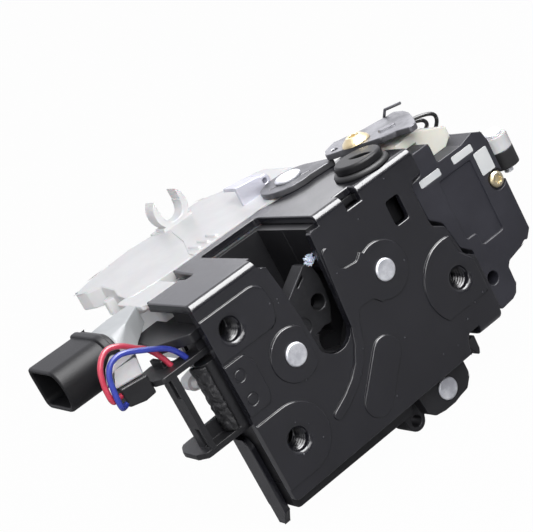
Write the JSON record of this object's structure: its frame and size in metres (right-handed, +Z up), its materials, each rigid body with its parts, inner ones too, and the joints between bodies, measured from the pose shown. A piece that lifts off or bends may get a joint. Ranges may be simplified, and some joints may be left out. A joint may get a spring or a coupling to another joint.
{
  "type": "door latch actuator",
  "caption": "Car side-door latch with rotary claw, folded steel plate, white lock-drive housing, switch cover and wired connector",
  "frame": {"origin": "axis of the lower left threaded fixing hole, on the front face of the latch plate", "axes": "+X along the shut face towards the switch cover, +Y into the door, +Z up towards the folded flange"},
  "size_m": [0.1674, 0.0916, 0.0894],
  "materials": {
    "black_steel": "black cathodic paint on pressed steel, satin",
    "black_plastic": "black moulded nylon with a fine grain",
    "dark_steel": "dark phosphated steel, oiled",
    "grey_steel": "grey stamped steel",
    "bright_zinc": "bright zinc plate",
    "yellow_zinc": "yellow chromate zinc plate",
    "black_rubber": "black rubber",
    "white_plastic": "natural white acetal, slightly see-through at thin edges",
    "ivory_plastic": "ivory nylon",
    "grey_rubber": "light grey rubber",
    "red_insulation": "red insulation",
    "blue_insulation": "blue insulation"
  },
  "bodies": {
    "frame": {"latch_plate": "black_steel", "latch_housing": "black_plastic", "back_plate": "black_steel", "claw_rivet": "bright_zinc", "claw_spring": "dark_steel", "pawl_rivet": "bright_zinc", "bump_stop": "black_rubber", "ear_rivet": "bright_zinc", "knob_seal": "black_rubber", "deck_plate": "grey_steel", "deck_rivet": "bright_zinc", "lever_screw": "yellow_zinc", "hook_clip": "grey_steel", "switch_carrier": "black_plastic", "switch_cover": "black_plastic", "cover_pads": "white_plastic", "cover_screw": "yellow_zinc", "micro_switch": "black_plastic", "end_cap": "ivory_plastic", "side_housing": "white_plastic", "side_bush": "black_rubber", "side_screw": "bright_zinc", "actuator_housing": "white_plastic", "actuator_base": "black_plastic", "base_screws": "bright_zinc", "motor": "bright_zinc", "gear_axle": "bright_zinc", "sector_axle": "bright_zinc", "wire_bracket": "black_plastic", "seal_strip": "black_rubber", "connector_shell": "black_plastic", "connector_neck": "grey_rubber", "connector_pins": "yellow_zinc", "white_plug": "white_plastic", "black_socket": "black_plastic", "red_wire": "red_insulation", "blue_wire": "blue_insulation", "black_wire_a": "black_rubber", "black_wire_b": "black_rubber"},
    "claw": {"claw": "dark_steel"},
    "pawl": {"pawl": "dark_steel", "pawl_spring": "dark_steel"},
    "release_lever": {"release_lever": "grey_steel", "lever_spring": "dark_steel"},
    "lock_knob": {"lock_knob": "black_plastic"},
    "worm": {"worm": "yellow_zinc"},
    "worm_wheel": {"worm_wheel": "white_plastic"},
    "lock_sector": {"lock_sector": "white_plastic"},
    "switch_button": {"switch_button": "red_insulation"}
  },
  "joints": [
    {"name": "claw_turn", "type": "hinge", "parent": "frame", "child": "claw", "pos_m": [0.0116, 0.008, 0.0214], "axis": [0, -1, 0], "range_deg": [0, 60]},
    {"name": "pawl_turn", "type": "hinge", "parent": "frame", "child": "pawl", "pos_m": [0.0504, 0.008, 0.0255], "axis": [0, -1, 0], "range_deg": [0, 18]},
    {"name": "lever_turn", "type": "hinge", "parent": "frame", "child": "release_lever", "pos_m": [0.0752, 0.022, 0.0535], "axis": [0, 0, -1], "range_deg": [0, 14]},
    {"name": "knob_turn", "type": "hinge", "parent": "frame", "child": "lock_knob", "pos_m": [0.0656, 0.01, 0.0535], "axis": [0, 0, 1], "range_deg": [0, 60]},
    {"name": "wheel_turn", "type": "hinge", "parent": "frame", "child": "worm_wheel", "pos_m": [0.0444, 0.058, 0.02], "axis": [0, -1, 0], "range_deg": [-60, 60]},
    {"name": "worm_turn", "type": "hinge", "parent": "frame", "child": "worm", "pos_m": [0.0444, 0.058, 0.0355], "axis": [1, 0, 0], "range_deg": [-1800, 1800]},
    {"name": "sector_turn", "type": "hinge", "parent": "frame", "child": "lock_sector", "pos_m": [0.01734, 0.063, 0.01015], "axis": [0, -1, 0], "range_deg": [-12, 12]},
    {"name": "button_press", "type": "slide", "parent": "frame", "child": "switch_button", "axis": [0, 0, -1], "range_m": [0, 0.0006]}
  ],
  "couplings": [
    {"joint": "pawl_turn", "follows": "claw_turn", "ratio": 0.3},
    {"joint": "worm_turn", "follows": "wheel_turn", "ratio": 30},
    {"joint": "sector_turn", "follows": "wheel_turn", "ratio": -0.2}
  ]
}
